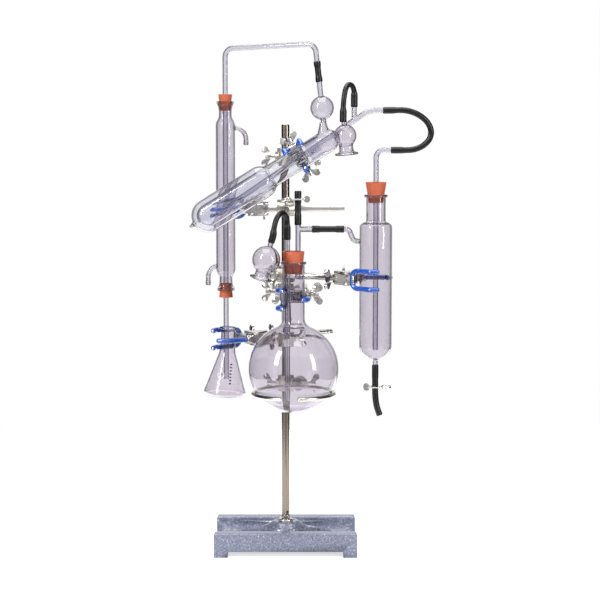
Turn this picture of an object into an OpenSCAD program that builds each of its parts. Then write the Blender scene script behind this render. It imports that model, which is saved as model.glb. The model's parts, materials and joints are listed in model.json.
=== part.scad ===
/* [Stand] */
// Width of the cast base
base_w = 215; // [180:1:260]
// Depth of the cast base
base_d = 136; // [120:1:180]
// Height of the base bars
base_h = 37; // [30:1:50]
// Depth of each base bar
bar_d = 20; // [16:1:28]
// Width of each foot under the bars
foot_w = 21; // [14:1:30]
// Height of the arch between the feet
arch_h = 9; // [5:1:14]
// Diameter of the round hub of the base
hub_d = 62; // [50:1:76]
// Diameter of the flat on top of the hub
hub_flat_d = 38; // [30:1:46]
// Height of the step on top of the hub
hub_step = 5; // [2:1:8]
// Diameter of the support rod
rod_d = 12; // [10:0.5:14]
// Height of the top of the rod
rod_top = 645; // [635:1:710]
// Depth of the rod's seat in the hub
rod_seat = 26; // [18:1:28]
// Width of the web plate between the bars
web_w = 176; // [120:1:200]
// Thickness of the web plate
web_t = 6; // [4:0.5:8]
// Width of the rib from the hub to the bars
rib_w = 40; // [30:1:56]
// Height of the rod's lock ring
nut_h = 3; // [2:0.5:6]

/* [Boss heads] */
// Distance between the rod axis and a stem axis
boss_offset = 21; // [20:0.5:24]
// Height of the barrel on the rod
boss_h = 24; // [20:1:25]
// Diameter of the barrel on the rod
boss_d = 25; // [22:1:28]
// Diameter of the barrel on the stem
stem_barrel_d = 20; // [17:1:22]
// Length of the barrel on the stem
stem_barrel_l = 26; // [20:1:30]
// Thread diameter of the boss screws
boss_thread = 6; // [5:0.5:7]

/* [Clamps] */
// Diameter of the clamp stems
stem_d = 10; // [8:0.5:11]
// Length of a clamp stem behind its jaw pivots
stem_l = 137; // [125:1:160]
// Distance of each jaw pivot from the clamp axis
pivot_y = 12; // [11:0.5:15]
// Distance from the jaw pivots to the held glass
grip_x = 40; // [38:0.5:44]
// Diameter of a dipped prong
prong_d = 7.6; // [7:0.2:10]
// Distance between the two prongs of a double jaw
prong_gap = 26; // [20:1:32]
// Height of a jaw hub
jaw_h = 12; // [9:0.5:14]
// Thickness of the yoke plates
yoke_t = 3.5; // [2.5:0.5:5]
// Diameter of the jaw pins
jaw_pin_d = 6; // [5:0.5:7]
// Thread diameter of the jaw screws
jaw_thread = 5; // [4:0.5:6]
// Travel of a jaw from its grip in degrees
jaw_open = 8; // [4:1:8]

/* [Support ring] */
// Diameter of the ring at the middle of its bar
ring_d = 117.5; // [110:0.5:126]
// Diameter of the ring bar
ring_bar = 6.5; // [5:0.5:8]
// Width of the gap at the front of the ring
ring_gap = 22; // [14:1:40]

/* [Flask] */
// Sideways place of the flask axis
flask_x = 12.3; // [8:0.1:16]
// Distance of the flask axis in front of the rod
flask_out = 95; // [92:1:100]
// Height of the middle of the flask
flask_z = 291; // [286:1:296]
// Diameter of the flask body
flask_d = 132; // [124:1:136]
// Outside diameter of the flask neck
flask_neck_d = 33; // [31:0.5:36]
// Height of the flask rim
flask_rim_z = 448; // [442:1:454]
// Thickness of the glass walls
wall = 1.8; // [1.4:0.1:2.2]

/* [Tubes] */
// Outside diameter of the thin glass tubes
tube_d = 8; // [7:0.5:9]
// Bore of the thin glass tubes
tube_bore = 5.4; // [4:0.2:6]
// Outside diameter of the rubber hoses
hose_d = 9.6; // [9.2:0.2:11]

/* [Hidden] */
$fn = 64;
run_clear = 0.05;
fit_clear = 0.1;
stem_clear = 0.2;
face_clear = 0.3;
touch_clear = 0.05;
base_edge = 4;
base_end = 4;
arch_corner = 2;
web_rise = 2;
hub_bevel = 9;
rib_drop = 8;
nut_margin = 5;
nut_bevel = 1;
rod_bevel = 1;
hub_top = base_h + hub_step;
rod_from = hub_top - rod_seat;
rod_bore = rod_d + 2 * stem_clear;
stem_bore = stem_d + 2 * stem_clear;
cross_hole_d = 4;
cross_hole_z = hub_top + nut_h + 11;
cross_hole_turn = -65;
groove_w = 1.6;
groove_depth = 0.6;
groove_z = hub_top + nut_h + 6;

CAST_BLUE = [0.36, 0.43, 0.52];
STEEL = [0.78, 0.79, 0.8];
VINYL = [0.16, 0.33, 0.62];
GLASS = [0.8, 0.9, 0.92, 0.4];
RUBBER = [0.62, 0.28, 0.2];

// The five clamps: point held in plan, height, side of the rod, radius held, roll, and turn of the lock screw
vessel_y = -84;
vessel_slope = 32;
vessel_foot = [-112.4, vessel_y, 514.5];
vessel_neck_d = 33.6;
vessel_grip_z = vessel_foot.z + (boss_offset - vessel_foot.x) * tan(vessel_slope);
condenser_at = [-89, -22];
condenser_d = 29;
condenser_grip_z = 520.5;
flask_at = [flask_x, -flask_out];
flask_grip_z = 393.6;
trap_at = [132.6, -80];
trap_d = 48;
trap_grip_z = 421;
receiver_at = [-86, -22];
receiver_neck_d = 23;
receiver_grip_z = 324;
receiver_lean = 4;
grip_clear = 0.3;
lean_room = 0.5;

VESSEL = [[boss_offset, vessel_y], vessel_grip_z, 1, vessel_neck_d / 2, vessel_slope - 90, 0];
CONDENSER = [condenser_at, condenser_grip_z, 1, condenser_d / 2, 0, 0];
FLASK = [flask_at, flask_grip_z, 1, flask_neck_d / 2, 0, 0];
TRAP = [trap_at, trap_grip_z, -1, trap_d / 2, 0, 0];
RECEIVER = [receiver_at, receiver_grip_z, -1, receiver_neck_d / 2 + lean_room, 0, -90];

ring_z = flask_z - sqrt(pow((flask_d + ring_bar) / 2 + face_clear, 2) - pow(ring_d / 2, 2));
ring_stem_back = 34;

function reach(p) = sqrt(p * p - boss_offset * boss_offset);
function stem_turn(p, side) = atan2(p.y, p.x) - atan2(-reach(p), side * boss_offset);

// Vector helpers and rods with true bends; a bend is a hair thicker, so that the straight runs end inside it
bend_swell = 0.1;
bend_lap = 3;
lap_reach = 0.8;
function unit(v) = v / norm(v);
function turn_at(p, i) = acos(max(-1, min(1, unit(p[i] - p[i - 1]) * unit(p[i + 1] - p[i]))));
function trim_at(p, i, r) = i <= 0 || i >= len(p) - 1 ? 0 : r * tan(turn_at(p, i) / 2);
module aligned(at, x, y) {
  z = cross(x, y);
  multmatrix([[x[0], y[0], z[0], at[0]], [x[1], y[1], z[1], at[1]], [x[2], y[2], z[2], at[2]], [0, 0, 0, 1]])
    children();
}
module along(from, to) {
  dir = unit(to - from);
  side = unit(cross(abs(dir[2]) > 0.9 ? [1, 0, 0] : [0, 0, 1], dir));
  aligned(from, side, cross(dir, side)) children();
}
module bent_rod(p, r, d) {
  for (i = [0 : len(p) - 2]) {
    dir = unit(p[i + 1] - p[i]);
    from = p[i] + dir * trim_at(p, i, r);
    to = p[i + 1] - dir * trim_at(p, i + 1, r);
    along(from, to) cylinder(d = d, h = norm(to - from));
  }
  for (i = [1 : 1 : len(p) - 2]) {
    in_dir = unit(p[i] - p[i - 1]);
    out_dir = unit(p[i + 1] - p[i]);
    start = p[i] - in_dir * trim_at(p, i, r);
    inward = unit(out_dir - in_dir * (in_dir * out_dir));
    lap = min(bend_lap, asin(lap_reach / r));
    aligned(start + inward * r, -inward, in_dir) rotate([0, 0, -lap])
      rotate_extrude(angle = turn_at(p, i) + 2 * lap) translate([r, 0]) circle(d = d + bend_swell);
  }
}
// A path with its ends a little further out, for the bore of a bent tube
function longer(p, by) = let (n = len(p) - 1) [for (i = [0 : n])
  i == 0 ? p[0] + by * unit(p[0] - p[1]) : i == n ? p[n] + by * unit(p[n] - p[n - 1]) : p[i]];

// Rounded-top outline standing on the bench line
module round_top(w, h, r) {
  translate([-w / 2, 0]) square([w, h - r]);
  translate([-w / 2 + r, 0]) square([w - 2 * r, h]);
  for (s = [-1, 1]) translate([s * (w / 2 - r), h - r]) circle(r);
}

module base_bar() {
  intersection() {
    rotate([90, 0, 0]) linear_extrude(bar_d, center = true) round_top(base_w, base_h, base_end);
    rotate([90, 0, 90]) linear_extrude(base_w, center = true) round_top(bar_d, base_h, base_edge);
  }
}
module base_arch() {
  rotate([90, 0, 0]) linear_extrude(bar_d, center = true) {
    round_top(base_w - 2 * foot_w, arch_h, arch_corner);
    translate([-base_w / 2 + foot_w, -1]) square([base_w - 2 * foot_w, 2]);
  }
}

module stand_base() {
  spread = base_d - bar_d;
  web_z = arch_h + web_rise - web_t;
  color(CAST_BLUE) difference() {
    union() {
      for (s = [-1, 1]) translate([0, s * spread / 2, 0]) base_bar();
      translate([-web_w / 2, -spread / 2, web_z]) cube([web_w, spread, web_t]);
      translate([0, 0, web_z]) rotate([90, 0, 0])
        linear_extrude(spread, center = true) round_top(rib_w, base_h - rib_drop - web_z, base_edge);
      translate([0, 0, web_z]) cylinder(d = hub_d, h = hub_top - hub_bevel - web_z);
      translate([0, 0, hub_top - hub_bevel]) cylinder(d1 = hub_d, d2 = hub_flat_d, h = hub_bevel);
    }
    for (s = [-1, 1]) translate([0, s * spread / 2, 0]) base_arch();
    translate([0, 0, rod_from]) cylinder(d = rod_d + 2 * run_clear, h = rod_seat + 1);
  }
}

module stand_rod() {
  color(STEEL) difference() {
    translate([0, 0, rod_from]) union() {
      cylinder(d = rod_d, h = rod_top - rod_from - rod_bevel);
      translate([0, 0, rod_top - rod_from - rod_bevel])
        cylinder(d1 = rod_d, d2 = rod_d - 2 * rod_bevel, h = rod_bevel);
    }
    translate([0, 0, cross_hole_z]) rotate([0, 90, cross_hole_turn])
      cylinder(d = cross_hole_d, h = rod_d + 2, center = true);
    translate([0, 0, groove_z - groove_w / 2]) difference() {
      cylinder(d = rod_d + 2, h = groove_w);
      translate([0, 0, -1]) cylinder(d = rod_d - 2 * groove_depth, h = groove_w + 2);
    }
  }
}

module rod_nut() {
  color(STEEL) translate([0, 0, hub_top]) difference() {
    union() {
      cylinder(d = rod_d + 2 * nut_margin, h = nut_h - nut_bevel);
      translate([0, 0, nut_h - nut_bevel])
        cylinder(d1 = rod_d + 2 * nut_margin, d2 = rod_d + 2 * nut_margin - 2 * nut_bevel, h = nut_bevel);
    }
    translate([0, 0, -1]) cylinder(d = rod_d + 2 * fit_clear, h = nut_h + 2);
  }
}

// Wing screw along +Z: tip at zero, underside of the head at the given length
wing_r = 5;
wing_out = 10;
wing_t = 3.4;
head_h = 8;
head_margin = 2.5;
module wing_screw(thread, length) {
  top = length + head_h;
  root = thread / 2 + head_margin / 2;
  cylinder(d = thread, h = length + 1);
  translate([0, 0, length]) cylinder(d = thread + 2 * head_margin, h = head_h);
  rotate([90, 0, 0]) linear_extrude(wing_t, center = true) for (s = [-1, 1]) {
    translate([s * wing_out, top + 1]) circle(wing_r);
    polygon([[0, length + 1], [s * root, length], [s * (wing_out + wing_r * 0.88), top - wing_r * 0.28],
      [s * (wing_out - wing_r * 0.68), top + wing_r * 0.92], [s * root, top], [0, top - 1]]);
  }
}

// Boss head on the rod; the stem passes at the side and runs along local Y
rod_screw_l = 16;
stem_screw_l = 13;
lug_margin = 3.5;
rod_lug_l = 3;
stem_lug_l = 2;
module on_stem() {
  translate([boss_offset, 0, 0]) rotate([90, 0, 0]) children();
}
module boss_body(c) {
  lug_d = boss_thread + 2 * lug_margin;
  hole_d = boss_thread + 2 * run_clear;
  difference() {
    union() {
      cylinder(d = boss_d, h = boss_h, center = true);
      on_stem() cylinder(d = stem_barrel_d, h = stem_barrel_l, center = true);
      translate([boss_offset / 2, 0, 0])
        cube([boss_offset, boss_d * 0.7, stem_barrel_d * 0.8], center = true);
      rotate([0, 0, c[5]]) translate([-boss_d / 2 - rod_lug_l, 0, 0]) rotate([0, 90, 0])
        cylinder(d = lug_d, h = boss_d / 2);
      translate([boss_offset, 0, 0]) rotate([0, 90, 0])
        cylinder(d = lug_d, h = stem_barrel_d / 2 + stem_lug_l);
    }
    cylinder(d = rod_bore, h = boss_h + 2, center = true);
    on_stem() cylinder(d = stem_bore, h = stem_barrel_l + 2, center = true);
    rotate([0, 0, c[5]]) translate([-boss_d, 0, 0]) rotate([0, 90, 0]) cylinder(d = hole_d, h = boss_d);
    translate([boss_offset, 0, 0]) rotate([0, 90, 0]) cylinder(d = hole_d, h = stem_barrel_d);
  }
}
module rod_screw(c) {
  rotate([0, 0, c[5]]) translate([-rod_d / 2 - touch_clear, 0, 0]) rotate([0, -90, 0])
    wing_screw(boss_thread, rod_screw_l);
}
module stem_screw() {
  translate([boss_offset + stem_d / 2 + touch_clear, 0, 0]) rotate([0, 90, 0])
    wing_screw(boss_thread, stem_screw_l);
}
// Place what belongs to a boss head: height, turn on the rod and side of the stem
module on_boss(c) {
  translate([0, 0, c[1]]) rotate([0, 0, stem_turn(c[0], c[2])]) mirror([c[2] < 0 ? 1 : 0, 0, 0]) children();
}
RING = [flask_at, ring_z, 1, ring_d / 2, 0, 0];
FIXED = [VESSEL, CONDENSER, FLASK, TRAP];

module boss_heads() {
  color(STEEL) for (c = FIXED) on_boss(c) boss_body(c);
}
module boss_screws() {
  color(STEEL) for (c = FIXED) on_boss(c) {
    rod_screw(c);
    stem_screw();
  }
}
module ring_boss() { color(STEEL) on_boss(RING) boss_body(RING); }
module ring_lock_screw() { color(STEEL) on_boss(RING) rod_screw(RING); }
module ring_stem_screw() { color(STEEL) on_boss(RING) stem_screw(); }
module receiver_boss() { color(STEEL) on_boss(RECEIVER) boss_body(RECEIVER); }
module receiver_lock_screw() { color(STEEL) on_boss(RECEIVER) rod_screw(RECEIVER); }
module receiver_stem_screw() { color(STEEL) on_boss(RECEIVER) stem_screw(); }

module support_ring() {
  open = 2 * asin((ring_gap + ring_bar) / ring_d);
  far = reach(flask_at);
  color(STEEL) on_boss(RING) translate([boss_offset, -far, 0]) {
    rotate([0, 0, -90 + open / 2]) rotate_extrude(angle = 360 - open)
      translate([ring_d / 2, 0]) circle(d = ring_bar);
    for (s = [-1, 1]) rotate([0, 0, -90 + s * open / 2]) translate([ring_d / 2, 0, 0])
      sphere(d = ring_bar + bend_swell);
    translate([0, ring_d / 2, 0]) rotate([-90, 0, 0])
      cylinder(d = stem_d, h = far - ring_d / 2 + ring_stem_back);
  }
}

// Three-prong clamp: X towards the held glass, Y the way the jaws open, Z along the held axis
hub_margin = 3.5;
hub_r = jaw_pin_d / 2 + hub_margin;
block_half = pivot_y - hub_r - 2 * face_clear;
block_back = 24;
tail_x = -16;
tail_y = 7;
tail_w = 7;
prong_off = 4;
prong_bend = 10;
prong_turn = 50;
prong_past = 10;
prong_end = 4;
arm_x = 13;
jaw_screw_l = 16;
function prong_line(c) = c[3] + prong_d / 2 + grip_clear;
function jaw_turn(c) =
  asin((prong_line(c) - prong_off) / norm([pivot_y, grip_x])) - atan2(pivot_y, grip_x);
function prong_run(c) = grip_x * cos(jaw_turn(c)) - pivot_y * sin(jaw_turn(c)) + prong_past;
function tip_y(c) = let (a = jaw_turn(c) + jaw_open, room = block_half + 0.5 - pivot_y)
  (room + (jaw_thread / 2 - tail_x) * sin(a)) / cos(a);
module on_clamp(c) {
  translate([0, 0, c[1]]) rotate([0, 0, stem_turn(c[0], c[2])])
    translate([c[2] * boss_offset, grip_x - reach(c[0]), 0]) rotate([0, 0, -90])
      rotate([c[4], 0, 0]) children();
}
module clamp_frame(c) {
  inner = jaw_h / 2 + face_clear;
  color(STEEL) on_clamp(c) {
    translate([-stem_l, 0, 0]) rotate([0, 90, 0]) cylinder(d = stem_d, h = stem_l - block_back + 1);
    translate([-block_back, -block_half, -inner - yoke_t])
      cube([block_back - 2, 2 * block_half, 2 * (inner + yoke_t)]);
    for (s = [-1, 1]) translate([0, 0, s * (inner + yoke_t / 2)]) linear_extrude(yoke_t, center = true) {
      for (t = [-1, 1]) translate([0, t * pivot_y]) circle(hub_r);
      translate([-hub_r, -pivot_y]) square([2 * hub_r, 2 * pivot_y]);
      polygon([[-block_back, -block_half], [-hub_r, -pivot_y], [-hub_r, pivot_y], [-block_back, block_half]]);
    }
    for (t = [-1, 1]) translate([0, t * pivot_y, 0])
      cylinder(d = jaw_pin_d, h = 2 * inner + 1, center = true);
  }
}
// Path of one prong from its tip back to the arm, bent inwards past the held glass
function prong_path(c, z) =
  let (k = prong_bend * tan(prong_turn / 2), knee = [prong_run(c) + k, prong_off, z])
  [knee + (k + prong_end) * [cos(prong_turn), -sin(prong_turn), 0], knee, [arm_x, prong_off, z]];
function reversed(p) = [for (i = [len(p) - 1 : -1 : 0]) p[i]];
// Put a jaw's own frame on its pin; side 1 is the single jaw, side -1 the double one
module on_jaw(c, side) {
  on_clamp(c) mirror([0, side < 0 ? 1 : 0, 0]) translate([0, pivot_y, 0])
    rotate([0, 0, jaw_turn(c)]) children();
}
module jaw(c, side) {
  upper = prong_path(c, side < 0 ? prong_gap / 2 : 0);
  lower = prong_path(c, -prong_gap / 2);
  path = side < 0 ? concat(upper, reversed(lower)) : upper;
  color(VINYL) on_jaw(c, side) difference() {
    union() {
      cylinder(r = hub_r, h = jaw_h, center = true);
      translate([0, 0, -jaw_h / 2]) linear_extrude(jaw_h) {
        polygon([[0, -hub_r + 2], [arm_x + 4, prong_off - 3], [arm_x + 4, prong_off + 4], [0, hub_r - 1]]);
        polygon([[-2, -hub_r + 1.5], [3, hub_r - 1.5], [tail_x + 4, tail_y + tail_w / 2 + 0.6],
          [tail_x - 3, tail_y + tail_w / 2 + 0.6], [tail_x - 5, tail_y + 2], [tail_x - 5, tail_y - 2],
          [tail_x - 3, tail_y - tail_w / 2 - 0.6], [tail_x + 3, tail_y - tail_w / 2 - 0.6]]);
      }
      bent_rod(path, prong_bend, prong_d);
      for (tip = side < 0 ? [upper[0], lower[0]] : [upper[0]]) translate(tip)
        sphere(d = prong_d + bend_swell);
    }
    cylinder(d = jaw_pin_d + 2 * run_clear, h = jaw_h + 2, center = true);
    translate([tail_x, 0, 0]) rotate([-90, 0, 0])
      cylinder(d = jaw_thread + 2 * run_clear, h = 2 * (tail_y + hub_r + tail_w), center = true);
  }
}
module jaw_screw(c, side) {
  color(STEEL) on_jaw(c, side) translate([tail_x, tip_y(c), 0]) rotate([-90, 0, 0]) rotate([0, 0, 90])
    wing_screw(jaw_thread, jaw_screw_l);
}
module vessel_clamp() { clamp_frame(VESSEL); }
module vessel_double_jaw() { jaw(VESSEL, -1); }
module vessel_single_jaw() { jaw(VESSEL, 1); }
module vessel_double_screw() { jaw_screw(VESSEL, -1); }
module vessel_single_screw() { jaw_screw(VESSEL, 1); }
module condenser_clamp() { clamp_frame(CONDENSER); }
module condenser_double_jaw() { jaw(CONDENSER, -1); }
module condenser_single_jaw() { jaw(CONDENSER, 1); }
module condenser_double_screw() { jaw_screw(CONDENSER, -1); }
module condenser_single_screw() { jaw_screw(CONDENSER, 1); }
module flask_clamp() { clamp_frame(FLASK); }
module flask_double_jaw() { jaw(FLASK, -1); }
module flask_single_jaw() { jaw(FLASK, 1); }
module flask_double_screw() { jaw_screw(FLASK, -1); }
module flask_single_screw() { jaw_screw(FLASK, 1); }
module trap_clamp() { clamp_frame(TRAP); }
module trap_double_jaw() { jaw(TRAP, -1); }
module trap_single_jaw() { jaw(TRAP, 1); }
module trap_double_screw() { jaw_screw(TRAP, -1); }
module trap_single_screw() { jaw_screw(TRAP, 1); }
module receiver_clamp() { clamp_frame(RECEIVER); }
module receiver_double_jaw() { jaw(RECEIVER, -1); }
module receiver_single_jaw() { jaw(RECEIVER, 1); }
module receiver_double_screw() { jaw_screw(RECEIVER, -1); }
module receiver_single_screw() { jaw_screw(RECEIVER, 1); }

// Ball with a filleted neck, as glass is drawn: ball centre at zero, neck up to the given height
module ball_neck(ball_r, neck_r, fillet, top) {
  c = [neck_r + fillet, sqrt(pow(ball_r + fillet, 2) - pow(neck_r + fillet, 2))];
  t = c * ball_r / (ball_r + fillet);
  sphere(ball_r);
  rotate_extrude() difference() {
    polygon([[0, t.y - 1], [t.x - 1, t.y - 1], t, c, [0, c.y]]);
    translate(c) circle(fillet);
  }
  translate([0, 0, c.y - 0.01]) cylinder(r = neck_r, h = top - c.y + 0.01);
}
module bead(ring_r, bead_r) {
  rotate_extrude() translate([ring_r, 0]) circle(bead_r);
}
// Rubber stopper: wide end up, rim of its neck at zero, with holes for tubes
module stopper(top_d, rim_d, above, inside, holes) {
  slope = (top_d - rim_d) / 2 / above;
  difference() {
    translate([0, 0, -inside]) cylinder(r1 = rim_d / 2 - slope * inside, r2 = top_d / 2, h = above + inside);
    for (x = holes) translate([x, 0, -inside - 1]) cylinder(d = tube_hole, h = above + inside + 2);
  }
}

flask_fillet = 12;
flask_bead = 2;
flask_neck_bore = flask_neck_d - 2 * wall;
flask_neck_top = flask_rim_z - flask_z;
module steam_flask() {
  color(GLASS) translate([flask_at.x, flask_at.y, flask_z]) difference() {
    union() {
      ball_neck(flask_d / 2, flask_neck_d / 2, flask_fillet, flask_neck_top);
      translate([0, 0, flask_neck_top - flask_bead]) bead(flask_neck_d / 2 + 0.4, flask_bead);
    }
    ball_neck(flask_d / 2 - wall, flask_neck_bore / 2, flask_fillet + wall, flask_neck_top + 1);
  }
}

tube_hole = tube_d + 2 * fit_clear;
flask_stop_top = 32;
flask_stop_rim = flask_neck_bore - 2 * face_clear;
flask_stop_above = 15;
flask_stop_inside = 17;
fill_x = -9;
tee_x = 6.5;
fill_top = 494;
fill_foot = flask_z - 48;
tee_z = 495.5;
tee_top = 515;
tee_arm_x = 60;
tee_at = [flask_at.x + tee_x, flask_at.y];
fill_at = [flask_at.x + fill_x, flask_at.y];

module straight_tube(from, to) {
  along(from, to) difference() {
    cylinder(d = tube_d, h = norm(to - from));
    translate([0, 0, -1]) cylinder(d = tube_bore, h = norm(to - from) + 2);
  }
}
module fill_tube() {
  color(GLASS) straight_tube([fill_at.x, fill_at.y, fill_foot], [fill_at.x, fill_at.y, fill_top]);
}
module tee_tube() {
  foot = flask_rim_z - flask_stop_inside - 6;
  color(GLASS) difference() {
    union() {
      translate([tee_at.x, tee_at.y, foot]) cylinder(d = tube_d, h = tee_top - foot);
      translate([tee_at.x, tee_at.y, tee_z]) rotate([0, 90, 0])
        cylinder(d = tube_d, h = tee_arm_x - tee_at.x);
    }
    translate([tee_at.x, tee_at.y, foot - 1]) cylinder(d = tube_bore, h = tee_top - foot + 2);
    translate([tee_at.x, tee_at.y, tee_z]) rotate([0, 90, 0])
      cylinder(d = tube_bore, h = tee_arm_x - tee_at.x + 1);
  }
}
tee_hose_from = tee_z + tube_d / 2 + 2;
tee_hose_to = 551;
module tee_hose() {
  color(RUBBER) translate([tee_at.x, tee_at.y, tee_hose_from]) difference() {
    cylinder(d = hose_d, h = tee_hose_to - tee_hose_from);
    translate([0, 0, -1]) cylinder(d = tube_hole, h = tee_hose_to - tee_hose_from + 2);
  }
}

// Steam trap with its round foot, neck and side arm
trap_foot_z = 300;
trap_shoulder_z = 497;
trap_corner = 7;
trap_rim_z = 545;
trap_neck_d = 29;
trap_fillet = 4;
trap_outlet_foot = 280;
trap_arm_z = 476;
trap_bead = 2.2;
trap_outlet_lap = 6;
trap_sleeve_end = tee_arm_x + 3;
trap_arm_root = 3;
trap_arm_out = 8.6;
trap_arm_drop = 16.1;
trap_arm_start = [trap_at.x - trap_d / 2 + trap_arm_root, trap_at.y, trap_arm_z];
trap_arm_knee = [trap_arm_start.x - trap_arm_root - trap_arm_out, trap_at.y - 4, trap_arm_z + 2];
trap_arm = [trap_arm_start, trap_arm_knee,
  [trap_arm_start.x - trap_arm_root - trap_arm_drop, flask_at.y, tee_z],
  [trap_sleeve_end, flask_at.y, tee_z]];
trap_arm_bend = 7;
module trap_form(inset) {
  r = trap_d / 2 - inset;
  n = trap_neck_d / 2 - inset;
  c = trap_corner - inset;
  f = trap_fillet;
  foot = trap_foot_z + trap_d / 2;
  top = trap_shoulder_z + c;
  translate([0, 0, foot]) sphere(r);
  rotate_extrude() {
    translate([0, foot]) square([r, trap_shoulder_z - foot]);
    translate([0, trap_shoulder_z - 1]) square([r - c, c + 1]);
    translate([r - c, trap_shoulder_z]) circle(c);
    translate([0, top - 1]) square([n, trap_rim_z - top + 1 + (inset > 0 ? 1 : 0)]);
    difference() {
      translate([0, top - 1]) square([n + f, f + 1]);
      translate([n + f, top + f]) circle(f);
    }
  }
}
module steam_trap() {
  color(GLASS) difference() {
    union() {
      translate([trap_at.x, trap_at.y, 0]) {
        trap_form(0);
        translate([0, 0, trap_rim_z - trap_bead]) bead(trap_neck_d / 2 + 0.6, trap_bead);
        translate([0, 0, trap_outlet_foot])
          cylinder(d = tube_d, h = trap_foot_z - trap_outlet_foot + trap_outlet_lap - 2);
      }
      bent_rod(trap_arm, trap_arm_bend, tube_d);
    }
    translate([trap_at.x, trap_at.y, 0]) trap_form(wall);
    translate([trap_at.x, trap_at.y, trap_outlet_foot - 1])
      cylinder(d = tube_bore, h = trap_foot_z - trap_outlet_foot + trap_outlet_lap);
    bent_rod(longer(trap_arm, 1), trap_arm_bend, tube_bore);
  }
}
trap_stop_top = 30.5;
trap_stop_above = 18;
trap_stop_inside = 12;
trap_tube_lift = 16;
trap_tube_foot = trap_foot_z + trap_tube_lift;
trap_tube_z = 609.6;
trap_tube_end = 168;
trap_tube_path = [[trap_tube_end, trap_at.y, trap_tube_z], [trap_at.x, trap_at.y, trap_tube_z],
  [trap_at.x, trap_at.y, trap_tube_foot]];
trap_tube_bend = 11;
module trap_tube() {
  color(GLASS) difference() {
    bent_rod(trap_tube_path, trap_tube_bend, tube_d);
    bent_rod(longer(trap_tube_path, 1), trap_tube_bend, tube_bore);
  }
}

// Slanted vessel: local Z runs from the closed end up to the rim
vessel_d = 49;
vessel_shoulder = 90;
vessel_rim = 192.4;
vessel_fillet = 6;
vessel_tip_l = 7;
vessel_bore = vessel_neck_d - 2 * wall;
module on_vessel() {
  translate(vessel_foot) rotate([0, 90 - vessel_slope, 0]) children();
}
module distillation_vessel() {
  r = vessel_d / 2;
  n = vessel_neck_d / 2;
  color(GLASS) on_vessel() difference() {
    union() {
      difference() {
        union() {
          sphere(r);
          cylinder(r = r, h = vessel_shoulder);
          translate([0, 0, vessel_shoulder]) ball_neck(r, n, vessel_fillet, vessel_rim - vessel_shoulder);
          translate([0, 0, -r - vessel_tip_l]) cylinder(r1 = 1.4, r2 = 4, h = vessel_tip_l + 1);
        }
        sphere(r - wall);
        cylinder(r = r - wall, h = vessel_shoulder);
        translate([0, 0, vessel_shoulder]) sphere(r - wall);
        translate([0, 0, -r - vessel_tip_l - 1]) cylinder(d = 1, h = r);
      }
      sphere(n);
      cylinder(r = n, h = vessel_rim);
    }
    sphere(n - wall);
    cylinder(r = n - wall, h = vessel_rim + 1);
  }
}

// Still head: plug in the vessel's rim, dome, leaning riser with spray bulb, and the steam tube
head_plug = 20;
head_run = 13;
head_ledge = 3;
plug_clear = 0.15;
riser_foot = [57.5, vessel_y, 622];
riser_neck = [56.1, vessel_y, 650.3];
riser_lean = 6.4;
bulb_d = 35;
bulb_up = 20.6;
riser_top_z = 723;
riser_cone_d = 26;
riser_lap = 3;
function riser_at(z) = [riser_neck.x - (z - riser_neck.z) * tan(riser_lean), vessel_y, z];
steam_tip = [-92, vessel_y, 516.5];
steam_foot = [-78, vessel_y, 531];
steam_through = [90.2, vessel_y, 646];
steam_level = 667.3;
steam_end_x = 156;
steam_slope = (steam_through.z - steam_foot.z) / (steam_through.x - steam_foot.x);
steam_knee = [steam_through.x + (steam_level - steam_through.z) / steam_slope, vessel_y, steam_level];
steam_path = [steam_tip, steam_foot, steam_knee, [steam_end_x, vessel_y, steam_level]];
steam_bend = 40;
branch_x = 100.4;
branch_at = [branch_x, vessel_y, steam_through.z + (branch_x - steam_through.x) * steam_slope];
branch_top = 688;
branch_d = tube_d - 0.4;
branch_bore = tube_bore - 0.4;
module head_form(inset) {
  n = vessel_neck_d / 2 - inset;
  ledge = inset > 0 ? head_ledge : 0;
  on_vessel() translate([0, 0, vessel_rim + face_clear]) {
    translate([0, 0, ledge]) cylinder(r = n, h = head_run - ledge);
    translate([0, 0, head_run]) sphere(n);
  }
  along(riser_foot, riser_at(riser_top_z))
    cylinder(d1 = riser_cone_d - 2 * inset, d2 = tube_d + 1.5 - 2 * inset, h = riser_neck.z - riser_foot.z);
  translate(riser_at(riser_neck.z + bulb_up)) sphere(d = bulb_d - 2 * inset);
}
module still_head() {
  color(GLASS) difference() {
    union() {
      difference() {
        union() {
          head_form(0);
          on_vessel() translate([0, 0, vessel_rim - head_plug])
            cylinder(d = vessel_bore - 2 * plug_clear, h = head_plug + 2);
          along(riser_neck, riser_at(riser_top_z))
            cylinder(d = tube_d, h = norm(riser_at(riser_top_z) - riser_neck));
        }
        head_form(wall);
        on_vessel() translate([0, 0, vessel_rim - head_plug - 1])
          cylinder(d = vessel_bore - 2 * plug_clear - 2 * wall, h = head_plug + head_ledge + 2);
        along(riser_at(riser_neck.z - riser_lap), riser_at(riser_top_z))
          cylinder(d = tube_bore, h = norm(riser_at(riser_top_z + 1) - riser_at(riser_neck.z - riser_lap)));
      }
      bent_rod(steam_path, steam_bend, tube_d);
      translate(branch_at) cylinder(d = branch_d, h = branch_top - branch_at.z);
    }
    bent_rod(longer(steam_path, 1), steam_bend, tube_bore);
    translate(branch_at) cylinder(d = branch_bore, h = branch_top - branch_at.z + 1);
  }
}

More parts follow.
